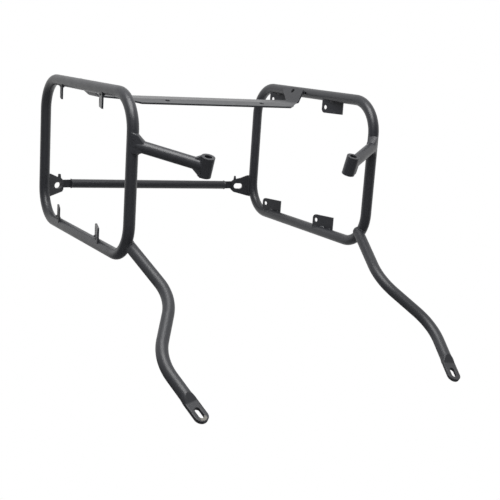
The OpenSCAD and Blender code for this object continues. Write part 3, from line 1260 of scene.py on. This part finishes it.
@dataclass(frozen=True)
class PhotoCamera:
    """Camera fitted to the photograph, which is taken as 500 by 500 pixels.

    Azimuth 0 looks along +Y. The camera stands back from the loops' middle
    and is moved sideways and up so that the axis isn't aimed at it.
    """

    azimuth: float = -31.769
    elevation: float = 12.202
    roll: float = 3.912
    back: float = 1751.5
    aside: float = 86.1
    below: float = -164.0
    focal_pixels: float = 951.396
    image: float = 500.0
    sensor: float = 36.0
    nearest: float = 50.0
    farthest: float = 50000.0
    middle: Place = (0.0, 35.0, -110.5)

    def build(self) -> None:
        """Makes the camera the scene's own."""
        a, e, r = (math.radians(v) for v in (self.azimuth, self.elevation, self.roll))
        level_way = math.cos(e)
        behind = Vector((math.sin(a) * level_way, -math.cos(a) * level_way, math.sin(e)))
        level = (-behind).cross(Vector(UP)).normalized()
        rise = level.cross(-behind)
        right = math.cos(r) * level + math.sin(r) * rise
        up = -math.sin(r) * level + math.cos(r) * rise
        stand = behind * self.back + right * self.aside + up * self.below
        data = bpy.data.cameras.new("photo_camera")
        data.sensor_width = self.sensor
        data.lens = self.focal_pixels / self.image * self.sensor
        data.clip_start, data.clip_end = self.nearest * MM, self.farthest * MM
        cam = add_object("photo_camera", data)
        turn = Matrix((right, up, behind)).transposed().to_4x4()
        where = (Vector(self.middle) + stand) * MM
        cam.matrix_world = Matrix.Translation(where) @ turn
        bpy.context.scene.camera = cam


@dataclass(frozen=True)
class Softbox:
    """A rectangular lamp behind a diffuser, aimed at a point; lengths in mm."""

    name: str
    place: Place
    aim: Place
    size: Pair
    watts: float

    def build(self) -> None:
        """Hangs the lamp."""
        data = bpy.data.lights.new(self.name, "AREA")
        data.shape = "RECTANGLE"
        data.size, data.size_y = self.size[0] * MM, self.size[1] * MM
        data.energy = self.watts
        lamp = add_object(self.name, data)
        lamp.location = Vector(self.place) * MM
        way = Vector(self.aim) - Vector(self.place)
        lamp.rotation_euler = way.to_track_quat("-Z", "Y").to_euler()


@dataclass(frozen=True)
class Studio:
    """White studio: a pale floor well below the hung frame, and soft lamps.

    The backdrop is fully bright where the dot product with its direction
    reaches its edge, and dim where it falls to minus that.
    """

    floor_below: float = 120.0
    floor_half: float = 6000.0
    floor_colour: str = "#f4f4f4"
    shadow_keep: float = 0.12
    shadow_reach: float = 500.0
    room: float = 0.50
    dim_side: float = 0.11
    backdrop_way: Place = (0.48, 0.78, 0.40)
    backdrop_edge: float = 0.4
    lamps: tuple[Softbox, ...] = (
        Softbox("overhead_softbox", (-350, -500, 950), (0, 0, -50), (900, 900), 20.0),
        Softbox("camera_fill", (-1300, -1700, 500), (0, 0, -110), (1200, 1200), 1.0),
    )

    def seen(self, tree: Tree) -> Socket:
        """One where the ray comes from the camera, a gloss or glass."""
        rays = node(tree, "ShaderNodeLightPath", {}, {}).outputs
        first = maths(tree, "MAXIMUM", rays["Is Camera Ray"], rays["Is Glossy Ray"])
        return maths(tree, "MAXIMUM", first, rays["Is Transmission Ray"])

    def brightness(self, tree: Tree, way: Socket) -> Socket:
        """One to the camera; to a gloss, one at the backdrop and dim elsewhere.

        Args:
            tree: the node tree.
            way: direction from the frame to what is seen, of length one.

        Returns:
            The strength of white there.
        """
        settings = {"operation": "DOT_PRODUCT", 1: self.backdrop_way}
        toward = node(tree, "ShaderNodeVectorMath", settings, {0: way}).outputs["Value"]
        span = (-self.backdrop_edge, self.backdrop_edge)
        glow = ramp(tree, toward, span, (self.dim_side, 1.0))
        rays = node(tree, "ShaderNodeLightPath", {}, {}).outputs
        return maths(tree, "MAXIMUM", glow, rays["Is Camera Ray"])

    def world(self) -> None:
        """Room light: white where it is seen, dimmer where it only lights."""
        world = bpy.data.worlds.new("studio_room")
        bpy.context.scene.world = world
        tree = empty_tree(world)
        full = {"Strength": self.brightness(tree, place(tree, "Generated"))}
        white = node(tree, "ShaderNodeBackground", {"Color": WHITE}, full)
        settings = {"Color": WHITE, "Strength": self.room}
        light = node(tree, "ShaderNodeBackground", settings, {})
        both = blend(tree, self.seen(tree), light.outputs[0], white.outputs[0])
        node(tree, "ShaderNodeOutputWorld", {}, {"Surface": both})

    def floor_paint(self) -> Material:
        """White paint, which glows to the eye but for a little shadow.

        The shadow shows most below the frame and is gone at its reach.

        Returns:
            The material.
        """
        mat = bpy.data.materials.new("white_floor_paint")
        tree = empty_tree(mat)
        paint = node(tree, "ShaderNodeBsdfDiffuse", {"Color": linear(self.floor_colour)}, {})
        spot = {0: place(tree)}
        way = node(tree, "ShaderNodeVectorMath", {"operation": "NORMALIZE"}, spot)
        full = {"Strength": self.brightness(tree, way.outputs["Vector"])}
        glow = node(tree, "ShaderNodeEmission", {"Color": WHITE}, full)
        away = node(tree, "ShaderNodeVectorMath", {"operation": "LENGTH"}, spot)
        span, ends = (0.0, self.shadow_reach * MM), (1 - self.shadow_keep, 1.0)
        keep = ramp(tree, away.outputs["Value"], span, ends, "SMOOTHSTEP")
        share = maths(tree, "MULTIPLY", self.seen(tree), keep)
        both = blend(tree, share, paint.outputs[0], glow.outputs[0])
        node(tree, "ShaderNodeOutputMaterial", {}, {"Surface": both})
        return mat

    def floor(self, lowest: float) -> None:
        """Square floor below the frame, declared as stage.

        Args:
            lowest: the frame's lowest point, in metres.
        """
        h, z = self.floor_half * MM, lowest - self.floor_below * MM
        mesh = bpy.data.meshes.new("studio_floor")
        mesh.from_pydata([(-h, -h, z), (h, -h, z), (h, h, z), (-h, h, z)], [], [(0, 1, 2, 3)])
        mesh.materials.append(self.floor_paint())
        floor = add_object("studio_floor", mesh)
        floor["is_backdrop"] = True

    def build(self, lowest: float) -> None:
        """Room, floor and lamps.

        Args:
            lowest: the frame's lowest point, in metres.
        """
        self.world()
        self.floor(lowest)
        for lamp in self.lamps:
            lamp.build()


# The whole frame


@dataclass
class PannierFrame:
    """The whole frame: its nodes dressed, its sheet set, its welds added."""

    nodes: dict[str, Object]
    loop: LoopTube = field(default_factory=LoopTube)
    coat: PowderCoat = field(default_factory=PowderCoat)
    special: dict[str, PowderCoat] = field(
        default_factory=lambda: {"left_leg": PressedCoat(), "right_leg": GreyPatchCoat()}
    )
    plate: TopPlate = field(default_factory=TopPlate)
    plate_node: str = "top_plate"

    def dress_nodes(self, coat: Material) -> None:
        """Coats every node; the legs' coats are their own.

        Args:
            coat: the coat of all others.
        """
        for name, obj in sorted(self.nodes.items()):
            dress(obj, self.special[name].material() if name in self.special else coat)
            LOG.info("coated %s", name)

    def add(self, piece: Object, coat: Material) -> None:
        """Coats a new piece and fixes it to the frame.

        Args:
            piece: the piece.
            coat: its coat.
        """
        dress(piece, coat)
        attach(piece, BODY)
        LOG.info("added %s, %d faces", piece.name, len(piece.data.polygons))

    def build(self) -> None:
        """Dresses the nodes, sets the sheet for its node and adds the welds."""
        coat = self.coat.material()
        self.dress_nodes(coat)
        piece = self.plate.build()
        self.add(piece, coat)
        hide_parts(self.plate_node)
        for side, part in product(Side, (Tabs, Arm, Leg, Gusset, Flange)):
            self.add(part(self.loop, side).build(), coat)


def corners() -> list[list[float]]:
    """The shown object's lowest and highest corners as plain lists."""
    return [[float(c) for c in corner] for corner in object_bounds()]


def main() -> None:
    """Loads the exact model, dresses it, and sets up studio and camera."""
    logging.basicConfig(level=logging.INFO, format="%(message)s", stream=sys.stdout)
    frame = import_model()
    cad_box = corners()
    bpy.context.scene.view_settings.view_transform = "Standard"
    PhotoCamera().build()
    PannierFrame(frame["nodes"]).build()
    Studio().build(cad_box[0][2])


if __name__ == "__main__":
    main()
